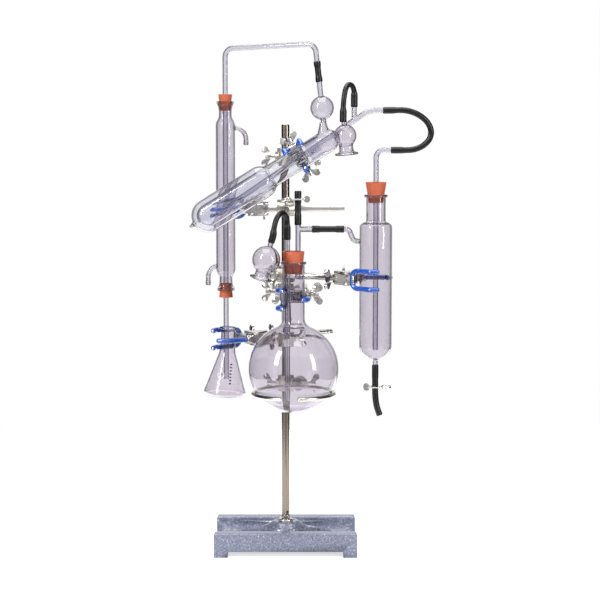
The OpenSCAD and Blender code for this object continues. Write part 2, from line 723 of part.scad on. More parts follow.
// Condenser: jacket with two necks and two hose tails, and the long bent tube through it
jacket_foot = 428;
jacket_top = 647;
upper_neck_l = 33;
upper_rim = jacket_top + upper_neck_l;
lower_neck_l = 30;
lower_rim = jacket_foot - lower_neck_l;
cneck_d = 19.5;
crim_d = 26;
crim_h = 3;
cflare_h = 8;
cseat = 16;
cshoulder = 9;
cstop_top = 20.5;
cstop_above = 10;
cstop_rim = 18.4;
cstop_upper_in = 14;
cstop_lower_in = 11;
function half_profile(inset, end, face, way) = let (n = cneck_d / 2 - inset, r = condenser_d / 2 - inset)
  [[n, end - way * cseat], [n, face + way * cshoulder], [n + (r - n) * 0.3, face + way * cshoulder * 0.7],
   [r - (r - n) * 0.2, face + way * cshoulder * 0.2], [r, face - way * 2]];
function jacket_side(inset) = concat(half_profile(inset, upper_rim, jacket_top, 1),
  reversed(half_profile(inset, lower_rim, jacket_foot, -1)));
module jacket_outer() {
  flare = cneck_d / 2 + 0.6;
  rotate_extrude() polygon(concat([[0, upper_rim], [crim_d / 2, upper_rim], [crim_d / 2, upper_rim - crim_h],
    [flare, upper_rim - cflare_h]], jacket_side(0), [[flare, lower_rim + cflare_h],
    [crim_d / 2, lower_rim + crim_h], [crim_d / 2, lower_rim], [0, lower_rim]]));
}
module jacket_inner() {
  seat_r = cstop_rim / 2 + face_clear;
  rotate_extrude() polygon(concat([[0, upper_rim + 1], [seat_r, upper_rim + 1], [seat_r, upper_rim]],
    jacket_side(wall), [[seat_r, lower_rim], [seat_r, lower_rim - 1], [0, lower_rim - 1]]));
}
tail_d = 7;
tail_bore = 4;
tail_bend = 16;
tail_root = 5;
tail_in = 7;
upper_tail_out = 16;
upper_tail_l = 25;
lower_tail_out = 12;
lower_tail_l = 29;
tail_barb_h = 3;
tail_barbs = 2;
function tail_path(side, z, out, drop) = let (x = condenser_at.x + side * condenser_d / 2)
  [[x - side * tail_root, condenser_at.y, z], [x + side * out, condenser_at.y, z],
   [x + side * out, condenser_at.y, z - drop]];
upper_tail = tail_path(1, jacket_top - tail_in, upper_tail_out, upper_tail_l);
lower_tail = tail_path(-1, jacket_foot + tail_in, lower_tail_out, lower_tail_l);
barb_d = 8.6;
module tail_outer(p) {
  bent_rod(p, tail_bend, tail_d);
  for (i = [0 : tail_barbs - 1]) translate(p[2] + [0, 0, 1 + i * tail_barb_h])
    cylinder(d1 = tail_d + bend_swell, d2 = barb_d, h = tail_barb_h - 0.6);
}
module condenser_jacket() {
  color(GLASS) difference() {
    union() {
      translate([condenser_at.x, condenser_at.y, 0]) jacket_outer();
      tail_outer(upper_tail);
      tail_outer(lower_tail);
    }
    translate([condenser_at.x, condenser_at.y, 0]) jacket_inner();
    for (p = [upper_tail, lower_tail]) bent_rod(longer(p, 1), tail_bend, tail_bore);
  }
}
tube_left_z = 757;
tube_right_z = 763;
tube_foot = 264;
spray_joint = 725;
tube_path = [riser_at(spray_joint), riser_at(tube_right_z), [condenser_at.x, condenser_at.y, tube_left_z],
  [condenser_at.x, condenser_at.y, tube_foot]];
cond_tube_bend = 13;
module condenser_tube() {
  color(GLASS) difference() {
    bent_rod(tube_path, cond_tube_bend, tube_d);
    bent_rod(longer(tube_path, 1), cond_tube_bend, tube_bore);
  }
}

// Receiver: small conical flask held at its neck, leaning a little
receiver_base_d = 62.5;
receiver_base_z = 239;
receiver_cone_h = 70;
receiver_h = 104;
receiver_wall = 1.6;
receiver_corner = 6;
receiver_bead = 1.8;
module on_receiver() {
  translate([receiver_at.x, receiver_at.y, receiver_grip_z]) rotate([0, receiver_lean, 0])
    translate([0, 0, receiver_base_z - receiver_grip_z]) children();
}
module receiver_form(inset) {
  n = receiver_neck_d / 2 - inset;
  b = receiver_base_d / 2;
  c = receiver_corner;
  rise = b - receiver_corner * 0.25;
  rotate_extrude() {
    polygon([[0, inset], [b - c, inset], [b - c, c], [b - inset - 0.02, c], [rise - inset, c + 5],
      [n + 1.2, receiver_cone_h - 6], [n, receiver_cone_h + 2], [n, receiver_h + (inset > 0 ? 1 : 0)],
      [0, receiver_h + (inset > 0 ? 1 : 0)]]);
    translate([b - c, c]) circle(c - inset);
  }
}
module receiver_flask() {
  color(GLASS) on_receiver() difference() {
    union() {
      receiver_form(0);
      translate([0, 0, receiver_h - receiver_bead]) bead(receiver_neck_d / 2 + 0.6, receiver_bead);
    }
    receiver_form(receiver_wall);
  }
}

module rubber_stoppers() {
  color(RUBBER) {
    translate([flask_at.x, flask_at.y, flask_rim_z])
      stopper(flask_stop_top, flask_stop_rim, flask_stop_above, flask_stop_inside, [fill_x, tee_x]);
    translate([trap_at.x, trap_at.y, trap_rim_z])
      stopper(trap_stop_top, trap_neck_d - 2 * wall - 2 * face_clear, trap_stop_above, trap_stop_inside, [0]);
    translate([condenser_at.x, condenser_at.y, upper_rim])
      stopper(cstop_top, cstop_rim, cstop_above, cstop_upper_in, [0]);
    translate([condenser_at.x, condenser_at.y, lower_rim]) mirror([0, 0, 1])
      stopper(cstop_top, cstop_rim, cstop_above, cstop_lower_in, [0]);
  }
}
link_from = 39;
link_to = 86;
spray_from = 708;
spray_to = 738;
module sleeve(from, to) {
  along(from, to) difference() {
    cylinder(d = hose_d, h = norm(to - from));
    translate([0, 0, -1]) cylinder(d = tube_hole, h = norm(to - from) + 2);
  }
}
module rubber_connectors() {
  color(RUBBER) {
    sleeve([link_from, flask_at.y, tee_z], [link_to, flask_at.y, tee_z]);
    sleeve(riser_at(spray_from), riser_at(spray_to));
  }
}

// Inverted funnel hanging along -Z from the end of its stem: stem, bulb, throat and flared mouth
function arc(c, r, a, b, n) = [for (i = [0 : n]) let (t = a + (b - a) * i / n) c + r * [cos(t), sin(t)]];
funnel_wall = 1.6;
funnel_steps = 20;
module funnel_form(stem, bulb_r, throat_r, mouth_r, flare_h, inset) {
  neck_r = (inset > 0 ? tube_bore : tube_d) / 2;
  past = inset > 0 ? 1 : 0;
  b = bulb_r - inset;
  t = throat_r - inset;
  up = acos(neck_r / b);
  lower = -acos(t / b);
  c = [0, -stem - bulb_r];
  end = c.y - bulb_r * sin(acos(throat_r / bulb_r)) - flare_h;
  rotate_extrude() polygon(concat([[0, past], [neck_r, past]], arc(c, b, up, lower, funnel_steps),
    [[t + (mouth_r - throat_r) * 0.35, end + flare_h * 0.55],
     [mouth_r - inset, end + (inset > 0 ? -0.01 : 1)],
     [mouth_r - inset, end - past], [0, end - past]]));
}
module funnel(stem, bulb_r, throat_r, mouth_r, flare_h) {
  difference() {
    funnel_form(stem, bulb_r, throat_r, mouth_r, flare_h, 0);
    funnel_form(stem, bulb_r, throat_r, mouth_r, flare_h, funnel_wall);
  }
}
fill_funnel_at = [-17, -122, 488];
fill_funnel_lean = [4, 16, 0];
fill_stem_l = 16;
fill_bulb_d = 41;
fill_throat_d = 21;
fill_mouth_d = 33;
fill_flare_h = 12;
sample_funnel_at = [84, -116, 662];
sample_funnel_lean = [2, -5, 0];
sample_stem_l = 14;
sample_bulb_d = 33;
sample_throat_d = 21;
sample_mouth_d = 34;
sample_flare_h = 15;
module filling_funnel() {
  color(GLASS) translate(fill_funnel_at) rotate(fill_funnel_lean)
    funnel(fill_stem_l, fill_bulb_d / 2, fill_throat_d / 2, fill_mouth_d / 2, fill_flare_h);
}
module sample_funnel() {
  color(GLASS) translate(sample_funnel_at) rotate(sample_funnel_lean)
    funnel(sample_stem_l, sample_bulb_d / 2, sample_throat_d / 2, sample_mouth_d / 2, sample_flare_h);
}

// Routes of the free hoses
steam_route = [[142, -84, 667.3], [150, -84, 667.3], [160, -84, 667.5], [172, -84, 667.5],
  [184, -83, 665], [195, -83, 660], [205, -82, 652], [211, -82, 642], [212, -81, 632], [208, -81, 623],
  [199, -80, 615], [187, -80, 610.5], [175, -80, 609.6], [165, -80, 609.6], [154, -80, 609.6]];
sample_route = [[100.4, -84, 672], [100.4, -84, 680], [100.4, -84, 688], [100, -85, 695],
  [98, -89, 701], [95, -95, 704], [91, -103, 704], [88, -110, 700], [86, -114, 693], [84.5, -116, 683],
  [83.8, -116, 672], [83.7, -116, 662], [83.5, -116, 651]];
filling_route = [[3.3, -95, 480], [3.3, -95, 488], [3.3, -95, 496], [3.2, -95.5, 504], [2.5, -97, 511],
  [0, -101, 517], [-3.5, -107, 520], [-8, -114, 518], [-12, -119, 512], [-14.5, -121.5, 504],
  [-16, -122, 496], [-17.3, -122, 487], [-20, -121.3, 478]];
drain_route = [[132.6, -80, 294], [132.6, -80, 286], [132.6, -80, 276], [132.6, -80, 266],
  [132.6, -80, 256], [133, -80, 247], [134, -80, 238], [136, -80.5, 229], [139.5, -81, 219]];
filling_side = unit([-1.3, 1, 0]);
hose_sides = 10;
function tangent(p, i) = unit(p[min(i + 1, len(p) - 1)] - p[max(i - 1, 0)]);
module hose(p, d, ref) {
  n = len(p);
  step = 360 / hose_sides;
  rings = [for (i = [0 : n - 1]) let (t = tangent(p, i), u = unit(cross(t, ref)), v = cross(t, u))
    for (k = [0 : hose_sides - 1]) p[i] + d / 2 * (cos(step * k) * u + sin(step * k) * v)];
  sides = [for (i = [0 : n - 2]) for (k = [0 : hose_sides - 1])
    let (a = i * hose_sides + k, b = i * hose_sides + (k + 1) % hose_sides)
      each [[a, a + hose_sides, b], [b, a + hose_sides, b + hose_sides]]];
  last = (n - 1) * hose_sides;
  caps = [for (k = [1 : hose_sides - 2]) each [[0, k, k + 1], [last, last + k + 1, last + k]]];
  polyhedron(rings, concat(sides, caps));
}
module steam_hose() { color(RUBBER) hose(steam_route, hose_d, [0, 1, 0]); }
module sample_hose() { color(RUBBER) hose(sample_route, hose_d, [1, 0, 0]); }
module filling_hose() { color(RUBBER) hose(filling_route, hose_d, filling_side); }
module drain_hose() { color(RUBBER) hose(drain_route, hose_d, [0, 1, 0]); }

// Wire pinchcock across a hose on Z: ring loop, two bars and their buttons
tee_pinch_z = 539;
drain_pinch_z = 261;
pinch_wire_d = 2.2;
pinch_ring_d = 13;
pinch_x = -16;
pinch_end = 13;
pinch_tilt = 12;
lever_root = 7;
lever_x = pinch_x + lever_root;
lever_eye_d = 2.8;
lever_eye_h = 3.4;
button_d = 9;
button_t = 2;
pinch_bar = hose_d / 2 + face_clear + pinch_wire_d / 2;
tee_pinch_at = [tee_at.x, tee_at.y, tee_pinch_z];
drain_pinch_at = [trap_at.x, trap_at.y, drain_pinch_z];
module pinch_bar_and_button(from) {
  translate([from, pinch_bar, 0]) rotate([0, 90, 0]) cylinder(d = pinch_wire_d, h = pinch_end - from);
  translate([pinch_end, pinch_bar, 0]) rotate([90, 0, 0]) cylinder(d = button_d, h = button_t, center = true);
}
module pinch_frame() {
  translate([pinch_x, 0, 0]) rotate([pinch_tilt, 0, 0])
    rotate_extrude() translate([pinch_ring_d / 2, 0]) circle(d = pinch_wire_d);
  pinch_bar_and_button(pinch_x);
}
module pinch_lever() {
  mirror([0, 1, 0]) {
    pinch_bar_and_button(lever_x);
    translate([lever_x, pinch_bar, 0]) cylinder(d = lever_eye_d, h = lever_eye_h, center = true);
  }
}

module tee_pinch_wire() { color(STEEL) translate(tee_pinch_at) pinch_frame(); }
module tee_pinch_lever() { color(STEEL) translate(tee_pinch_at) pinch_lever(); }
module drain_pinch_wire() { color(STEEL) translate(drain_pinch_at) mirror([1, 0, 0]) pinch_frame(); }
module drain_pinch_lever() { color(STEEL) translate(drain_pinch_at) mirror([1, 0, 0]) pinch_lever(); }

stand_base();
stand_rod();
rod_nut();
boss_heads();
boss_screws();
ring_boss();
ring_lock_screw();
ring_stem_screw();
support_ring();
receiver_boss();
receiver_lock_screw();
receiver_stem_screw();
vessel_clamp();
vessel_double_jaw();
vessel_single_jaw();
vessel_double_screw();
vessel_single_screw();
condenser_clamp();
condenser_double_jaw();
condenser_single_jaw();
condenser_double_screw();
condenser_single_screw();
flask_clamp();
flask_double_jaw();
flask_single_jaw();
flask_double_screw();
flask_single_screw();
trap_clamp();
trap_double_jaw();
trap_single_jaw();
trap_double_screw();
trap_single_screw();
receiver_clamp();
receiver_double_jaw();
receiver_single_jaw();
receiver_double_screw();
receiver_single_screw();
steam_flask();
rubber_stoppers();
fill_tube();
tee_tube();
filling_funnel();
filling_hose();
tee_hose();
tee_pinch_wire();
tee_pinch_lever();
rubber_connectors();
steam_trap();
trap_tube();
steam_hose();
drain_hose();
drain_pinch_wire();
drain_pinch_lever();
distillation_vessel();
still_head();
sample_funnel();
sample_hose();
condenser_tube();
condenser_jacket();
receiver_flask();
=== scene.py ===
import json
import math

import bmesh
import bpy
from mathutils import Matrix, Vector

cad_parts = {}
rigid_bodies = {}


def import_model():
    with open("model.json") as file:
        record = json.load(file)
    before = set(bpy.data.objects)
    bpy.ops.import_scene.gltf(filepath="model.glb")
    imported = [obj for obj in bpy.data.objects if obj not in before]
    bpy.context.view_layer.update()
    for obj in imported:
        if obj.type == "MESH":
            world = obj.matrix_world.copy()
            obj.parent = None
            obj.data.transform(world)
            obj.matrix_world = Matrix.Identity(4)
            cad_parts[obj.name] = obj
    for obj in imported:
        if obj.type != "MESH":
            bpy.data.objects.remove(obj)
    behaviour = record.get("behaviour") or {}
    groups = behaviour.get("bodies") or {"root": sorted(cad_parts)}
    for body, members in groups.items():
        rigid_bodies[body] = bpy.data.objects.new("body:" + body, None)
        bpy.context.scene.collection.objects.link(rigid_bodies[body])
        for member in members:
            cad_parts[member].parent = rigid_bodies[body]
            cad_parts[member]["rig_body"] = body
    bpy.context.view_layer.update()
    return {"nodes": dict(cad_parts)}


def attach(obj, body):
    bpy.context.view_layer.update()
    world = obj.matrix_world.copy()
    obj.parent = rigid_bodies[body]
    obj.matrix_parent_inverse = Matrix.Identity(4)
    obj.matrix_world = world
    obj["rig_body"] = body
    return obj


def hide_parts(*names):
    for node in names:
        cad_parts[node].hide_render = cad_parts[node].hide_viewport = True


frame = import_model()
scene = bpy.context.scene
scene.view_settings.view_transform = "Standard"
scene.cycles.max_bounces = scene.cycles.transmission_bounces = 28  # one tube inside another has many walls
scene.cycles.sample_clamp_indirect = 1.2  # no sparks from the lamps inside the glass
mm = 0.001
print("frame loaded:", len(frame["nodes"]), "nodes")


def hexLinear(text):  # an sRGB colour as linear light
    channels = [int(text[i:i + 2], 16) / 255 for i in (1, 3, 5)]
    return [c / 12.92 if c <= 0.04045 else ((c + 0.055) / 1.055) ** 2.4 for c in channels] + [1.0]


def addNode(tree, kind, inputs={}, **settings):  # one node with its settings, values and links
    node = tree.nodes.new(kind)
    for key, value in settings.items():
        setattr(node, key, value)
    for key, value in inputs.items():
        if isinstance(value, bpy.types.NodeSocket):
            tree.links.new(value, node.inputs[key])
        else:
            node.inputs[key].default_value = value
    return node


def newFinish(name, **values):  # a material with its shader and a texture coordinate
    finish = bpy.data.materials.new(name)
    finish.use_nodes = True
    tree = finish.node_tree
    shader = tree.nodes["Principled BSDF"]
    for key, value in values.items():
        shader.inputs[key.replace("_", " ")].default_value = value
    return finish, tree, shader, tree.nodes.new("ShaderNodeTexCoord").outputs["Object"]


def mottledFinish(name, grain, detail, dark, light, relief=None, **values):  # two tones in patches; sizes in mm
    finish, tree, shader, place = newFinish(name, **values)
    patch = addNode(tree, "ShaderNodeTexNoise", {"Vector": place, "Scale": 1 / (grain * mm), "Detail": detail})
    pattern = patch.outputs["Fac"]
    tone = addNode(tree, "ShaderNodeMix", {"Factor": pattern, "A": hexLinear(dark), "B": hexLinear(light)},
                   data_type="RGBA")
    tree.links.new(tone.outputs["Result"], shader.inputs["Base Color"])
    if relief:
        strength, depth = relief
        bump = addNode(tree, "ShaderNodeBump", {"Height": pattern, "Strength": strength, "Distance": depth * mm})
        tree.links.new(bump.outputs["Normal"], shader.inputs["Normal"])
    return finish, tree, shader, pattern


def aimed(thing, eye, aim):  # places a camera or a lamp so that it looks at a point, both in mm
    thing.location = Vector(eye) * mm
    thing.rotation_euler = (Vector(aim) - Vector(eye)).to_track_quat("-Z", "Y").to_euler()
    scene.collection.objects.link(thing)


# the camera first, at the place of the photograph
view = {"eye": (21.75, -2900, 711), "aim": (21.75, 0, 381), "lens": 116, "sensor": 36, "near": 50}  # mm
camera = bpy.data.objects.new("camera", bpy.data.cameras.new("camera"))
camera.data.lens = view["lens"]
camera.data.sensor_width = view["sensor"]
camera.data.clip_start = view["near"] * mm
aimed(camera, view["eye"], view["aim"])
scene.camera = camera


# borosilicate glass, blown and flame worked: a lavender grey wall in the flasks, a bluer one in the thin double
# vessel and an almost clear one in the tubes; slightly wavy, about 45 mm from wave to wave
glasses = {}
for label, tint in (("Blown", "#e8e4eb"), ("Double", "#f3f3f8"), ("Tube", "#e9e7ee")):
    glasses[label], tree, shader, place = newFinish("borosilicate" + label, Base_Color=hexLinear(tint), Roughness=0.0,
                                                    IOR=1.473, Transmission_Weight=1.0)
    wave = addNode(tree, "ShaderNodeTexNoise", {"Vector": place, "Scale": 1 / (45 * mm), "Detail": 1.0})
    bump = addNode(tree, "ShaderNodeBump", {"Height": wave.outputs["Fac"], "Strength": 0.006, "Distance": 2 * mm})
    tree.links.new(bump.outputs["Normal"], shader.inputs["Normal"])

# fired enamel print on glass: matt grey marks a few hundredths thick, and a white spot for pencil
printGrey = mottledFinish("firedEnamelGrey", grain=0.8, detail=2.0, dark="#242229", light="#3c3a42", Roughness=0.6)[0]
printWhite = mottledFinish("firedEnamelWhite", grain=0.8, detail=2.0, dark="#e9e8ec", light="#f8f7f9", Roughness=0.7)[0]

# hammertone stove enamel on cast iron: beaded blue-grey paint, beads about 1.5 mm, with dark pits and pale metal flecks
hammertone, tree, shader, place = newFinish("hammertoneEnamel", Metallic=0.3, Roughness=0.38, Coat_Weight=1.0,
                                            Coat_Roughness=0.1)
cell = addNode(tree, "ShaderNodeTexVoronoi", {"Vector": place, "Scale": 1 / (1.5 * mm), "Randomness": 1.0})
fleck = addNode(tree, "ShaderNodeTexNoise", {"Vector": place, "Scale": 1 / (2.6 * mm), "Detail": 4.0, "Roughness": 0.7})
paint = addNode(tree, "ShaderNodeValToRGB", {"Fac": fleck.outputs["Fac"]})
for stop, colour in ((0.32, "#494d5f"), (0.47, "#6e7289"), (0.6, "#7c8197"), (0.72, "#dcdee9")):
    paint.color_ramp.elements.new(stop).color = hexLinear(colour)
for spare in (paint.color_ramp.elements[-1], paint.color_ramp.elements[0]):  # the two stops of a new ramp
    paint.color_ramp.elements.remove(spare)
tree.links.new(paint.outputs["Color"], shader.inputs["Base Color"])
bead = addNode(tree, "ShaderNodeBump", {"Height": cell.outputs["Distance"], "Strength": 0.45, "Distance": 0.5 * mm})
tree.links.new(bead.outputs["Normal"], shader.inputs["Normal"])

# bright drawn steel bar: fine lines along its length, 0.7 mm apart, and a slightly brown tarnish
steel, tree, shader, place = newFinish("drawnSteel", Metallic=1.0, Roughness=0.2)
stretch = addNode(tree, "ShaderNodeMapping", {"Vector": place,
                                              "Scale": (1 / (0.7 * mm), 1 / (0.7 * mm), 1 / (30 * mm))})
line = addNode(tree, "ShaderNodeTexNoise", {"Vector": stretch.outputs["Vector"], "Scale": 1.0, "Detail": 2.0})
tone = addNode(tree, "ShaderNodeMix", {"Factor": line.outputs["Fac"], "A": hexLinear("#6f665e"),
                                       "B": hexLinear("#a39b92")}, data_type="RGBA")
tree.links.new(tone.outputs["Result"], shader.inputs["Base Color"])
bump = addNode(tree, "ShaderNodeBump", {"Height": line.outputs["Fac"], "Strength": 0.08, "Distance": 0.1 * mm})
tree.links.new(bump.outputs["Normal"], shader.inputs["Normal"])

# polished nickel plate on wire, wings and stems: bright, with soft ripples of the buffing wheel about 5 mm wide
nickel = mottledFinish("polishedNickel", grain=5, detail=3.0, dark="#cbc8c4", light="#ebe9e5", relief=(0.06, 0.3),
                       Metallic=1.0, Roughness=0.2)[0]

# zinc die casting, tumbled: satin cream grey with a skin of about 1.5 mm orange peel
casting = mottledFinish("tumbledZincCasting", grain=1.5, detail=3.0, dark="#b8b2a8", light="#ddd7cb", relief=(0.2, 0.3),
                        Metallic=0.85, Roughness=0.36)[0]

# natural red rubber, moulded: matt orange red with pale filler specks about a millimetre wide and a dusty bloom
redRubber = mottledFinish("redRubber", grain=1.4, detail=4.0, dark="#ae4a2c", light="#cd6e4a", relief=(0.15, 0.2),
                          Roughness=0.58)[0]

# black rubber hose, extruded: satin, with a grey bloom in patches of about 8 mm
blackRubber, tree, shader, bloom = mottledFinish("blackRubber", grain=8, detail=5.0, dark="#070708", light="#131315",
                                                 Specular_IOR_Level=0.4)
satin = addNode(tree, "ShaderNodeMapRange", {"Value": bloom, "To Min": 0.28, "To Max": 0.48})
tree.links.new(satin.outputs["Result"], shader.inputs["Roughness"])

# blue vinyl, dipped: glossy plastisol with soft runs about 6 mm long
blueVinyl = mottledFinish("dippedVinyl", grain=6, detail=2.0, dark="#0c3a90", light="#1a5ec2", relief=(0.15, 0.5),
                          Roughness=0.26, Coat_Weight=1.0, Coat_Roughness=0.08)[0]
print("finishes made")


def newPiece(name, mesh, body, slot, *nodes):  # a finished mesh as a piece of the object
    piece = bpy.data.objects.new(name, mesh)
    scene.collection.objects.link(piece)
    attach(piece, body)
    if nodes:
        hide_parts(*nodes)
    return piece


def settled(piece):  # the piece's mesh with its modifiers baked in
    graph = bpy.context.evaluated_depsgraph_get()
    mesh = bpy.data.meshes.new_from_object(piece.evaluated_get(graph), preserve_all_data_layers=True, depsgraph=graph)
    mesh.name = piece.name
    return mesh


def smoothRoute(points, step):  # an even curve through the points
    ends = [2 * points[0] - points[1]] + points + [2 * points[-1] - points[-2]]
    route = []
    for i in range(1, len(ends) - 2):
        a, b, c, d = ends[i - 1:i + 3]
        square, cubic = 2 * a - 5 * b + 4 * c - d, 3 * b - a - 3 * c + d
        count = max(2, round((c - b).length / step))
        for k in range(count):
            t = k / count
            route.append(0.5 * (2 * b + (c - a) * t + square * t * t + cubic * t ** 3))
    return route + [points[-1]]


def sweptTube(grid, route, radius, bore, sides):  # a closed tube in mm; radius and bore depend on the way along it
    endShare = 0.92  # a cut or fire-polished end is a little narrower
    turns = [2 * math.pi * k / sides for k in range(sides)]
    side = Vector((0, 0, 1)).cross(route[1] - route[0])
    side = side if side.length > 1e-6 else Vector((1, 0, 0))
    way = [0]
    for a, b in zip(route, route[1:]):
        way.append(way[-1] + (b - a).length)
    rings = []
    for i, point in enumerate(route):
        ahead = (route[min(i + 1, len(route) - 1)] - route[max(i - 1, 0)]).normalized()
        side = (side - ahead * side.dot(ahead)).normalized()
        up = ahead.cross(side)
        worn = endShare if i in (0, len(route) - 1) else 1
        pair = (radius(way[i], way[-1]) * worn, bore(way[i], way[-1]))
        rings.append([[grid.verts.new((point + r * (math.cos(t) * side + math.sin(t) * up)) * mm) for t in turns]
                      for r in pair])
    for k in range(sides):
        n = (k + 1) % sides
        for (outA, inA), (outB, inB) in zip(rings, rings[1:]):
            grid.faces.new((outA[k], outA[n], outB[n], outB[k]))
            grid.faces.new((inA[k], inB[k], inB[n], inA[n]))
        first, last = rings[0], rings[-1]
        grid.faces.new((first[0][n], first[0][k], first[1][k], first[1][n]))
        grid.faces.new((last[0][k], last[0][n], last[1][n], last[1][k]))


def smoothMesh(name, grid, finish, sharp=50):  # the grid as a smooth mesh, sharp over an angle in degrees
    mesh = bpy.data.meshes.new(name)
    grid.to_mesh(mesh)
    grid.free()
    mesh.polygons.foreach_set("use_smooth", [True] * len(mesh.polygons))
    mesh.set_sharp_from_angle(angle=math.radians(sharp))
    mesh.materials.append(finish)
    return mesh


def ease(t):  # from 0 to 1 with a soft start and end
    t = min(1, max(0, t))
    return t * t * (3 - 2 * t)


hoses = {  # mm: outside radius over the glass and where free, length pushed on at each end, route as in the solids
    "sides": 28, "step": 1.2, "bore": 4.06, "boreShare": 0.6, "fade": 7,
    "steam": {"over": 4.9, "free": 4.4, "ends": (14, 14), "farEnd": "object",
              "route": [(142, -84, 667.3), (150, -84, 667.3), (160, -84, 667.5), (172, -84, 667.5), (184, -83, 665),
                        (195, -83, 660), (205, -82, 652), (211, -82, 642), (212, -81, 632), (208, -81, 623),
                        (199, -80, 615), (187, -80, 610.5), (175, -80, 609.6), (165, -80, 609.6), (154, -80, 609.6)]},
    "sample": {"over": 5.0, "free": 3.8, "ends": (17, 15), "farEnd": "object",
               "route": [(100.4, -84, 672), (100.4, -84, 680), (100.4, -84, 688), (100, -85, 695), (98, -89, 701),
                         (95, -95, 704), (91, -103, 704), (88, -110, 700), (86, -114, 693), (84.5, -116, 683),
                         (83.8, -116, 672), (83.7, -116, 662), (83.5, -116, 651)]},
    "filling": {"over": 5.0, "free": 3.9, "ends": (17, 14), "farEnd": "object",
                "route": [(3.3, -95, 480), (3.3, -95, 488), (3.3, -95, 496), (3.2, -95.5, 504), (2.5, -97, 511),
                          (0, -101, 517), (-3.5, -107, 520), (-8, -114, 518), (-12, -119, 512), (-14.5, -121.5, 504),
                          (-16, -122, 496), (-17.3, -122, 487), (-20, -121.3, 478)]},
    "drain": {"over": 4.9, "free": 4.6, "ends": (16, 0), "farEnd": "bare",
              "route": [(132.6, -80, 294), (132.6, -80, 286), (132.6, -80, 276), (132.6, -80, 266), (132.6, -80, 256),
                        (133, -80, 247), (134, -80, 238), (136, -80.5, 229), (139.5, -81, 219)]},
}
for name in ("steam", "sample", "filling", "drain"):
    hose = hoses[name]
    route = smoothRoute([Vector(p) for p in hose["route"]], hoses["step"])
    startOver, endOver = hose["ends"]
    freeBore = hose["free"] * hoses["boreShare"]

    def swell(way, whole):  # 1 where the hose is stretched over glass, 0 where it is free
        atEnd = 1 - ease((whole - way - endOver) / hoses["fade"]) if endOver else 0
        return max(1 - ease((way - startOver) / hoses["fade"]), atEnd)

    grid = bmesh.new()
    sweptTube(grid, route, lambda w, l: hose["free"] + (hose["over"] - hose["free"]) * swell(w, l),
              lambda w, l: freeBore + (hoses["bore"] - freeBore) * swell(w, l), hoses["sides"])
    mesh = smoothMesh(name + "Hose", grid, blackRubber)
    piece = newPiece(name + "Hose", mesh, "stand", "black_rubber", name + "_hose")

sleeves = {  # mm: straight rubber pieces from start to end, with the length that the glass is pushed in
    "bulge": 5.1, "waist": 4.5, "bore": 4.2, "step": 1.2, "fade": 3,
    "teeHose": {"nodes": ["tee_hose"], "runs": [((18.8, -95, 501.5), (18.8, -95, 551), 15)]},
    "connectors": {"nodes": ["rubber_connectors"], "runs": [((39, -95, 495.5), (86, -95, 495.5), 10),
                                                             ((49.63, -84, 708), (46.26, -84, 738), 6)]},
}
for name in ("teeHose", "connectors"):
    grid = bmesh.new()
    for start, end, push in sleeves[name]["runs"]:
        start, end = Vector(start), Vector(end)
        count = round((end - start).length / sleeves["step"])
        route = [start.lerp(end, i / count) for i in range(count + 1)]

        def outline(way, whole):  # wide where the glass is pushed in, narrower between
            near = min(way, whole - way)
            bulged = 1 - ease((near - push) / sleeves["fade"])
            return sleeves["waist"] + (sleeves["bulge"] - sleeves["waist"]) * bulged

        sweptTube(grid, route, outline, lambda w, l: sleeves["bore"], hoses["sides"])
    newPiece(name, smoothMesh(name, grid, blackRubber), "stand", "black_rubber", *sleeves[name]["nodes"])
print("hoses and sleeves laid")


weld = {"join": 0.002, "sliver": 0.001, "sharp": 38}  # mm and degrees


def dressNode(name, finish):  # the CAD shape, joined and smooth, with a real finish
    mesh = frame["nodes"][name].data.copy()
    grid = bmesh.new()
    grid.from_mesh(mesh)
    bmesh.ops.remove_doubles(grid, verts=grid.verts, dist=weld["join"] * mm)
    bmesh.ops.dissolve_degenerate(grid, edges=grid.edges, dist=weld["sliver"] * mm)
    grid.to_mesh(mesh)
    grid.free()
    mesh.polygons.foreach_set("use_smooth", [True] * len(mesh.polygons))
    mesh.set_sharp_from_angle(angle=math.radians(weld["sharp"]))
    mesh.materials.clear()
    mesh.materials.append(finish)
    piece = bpy.data.objects.new(name + "Dress", mesh)
    scene.collection.objects.link(piece)
    even = piece.modifiers.new("even", "WEIGHTED_NORMAL")  # slivers of the solid don't bend the shading
    even.mode, even.weight, even.keep_sharp = "FACE_AREA", 100, True
    piece.data = settled(piece)
    piece.modifiers.clear()
    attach(piece, frame["nodes"][name]["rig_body"])
    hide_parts(name)


clampNames = ("vessel", "condenser", "flask", "trap", "receiver")
for label, nodes in (("Blown", ("steam_flask", "steam_trap", "receiver_flask", "condenser_jacket")),
                     ("Double", ("distillation_vessel",)),
                     ("Tube", ("fill_tube", "tee_tube", "still_head"))):
    for name in nodes:
        dressNode(name, glasses[label])
dressNode("stand_rod", steel)
for name in ("support_ring", "rod_nut", "boss_screws", "ring_lock_screw", "ring_stem_screw", "receiver_lock_screw",
             "receiver_stem_screw", "tee_pinch_wire", "tee_pinch_lever", "drain_pinch_wire", "drain_pinch_lever"):
    dressNode(name, nickel)
for name in ("boss_heads", "ring_boss", "receiver_boss"):
    dressNode(name, casting)
for clamp in clampNames:
    dressNode(clamp + "_clamp", nickel)
    for jaw in ("double", "single"):
        dressNode(f"{clamp}_{jaw}_jaw", nickel)
        dressNode(f"{clamp}_{jaw}_screw", nickel)
dressNode("stand_base", hammertone)
dressNode("rubber_stoppers", redRubber)
print("solids dressed")

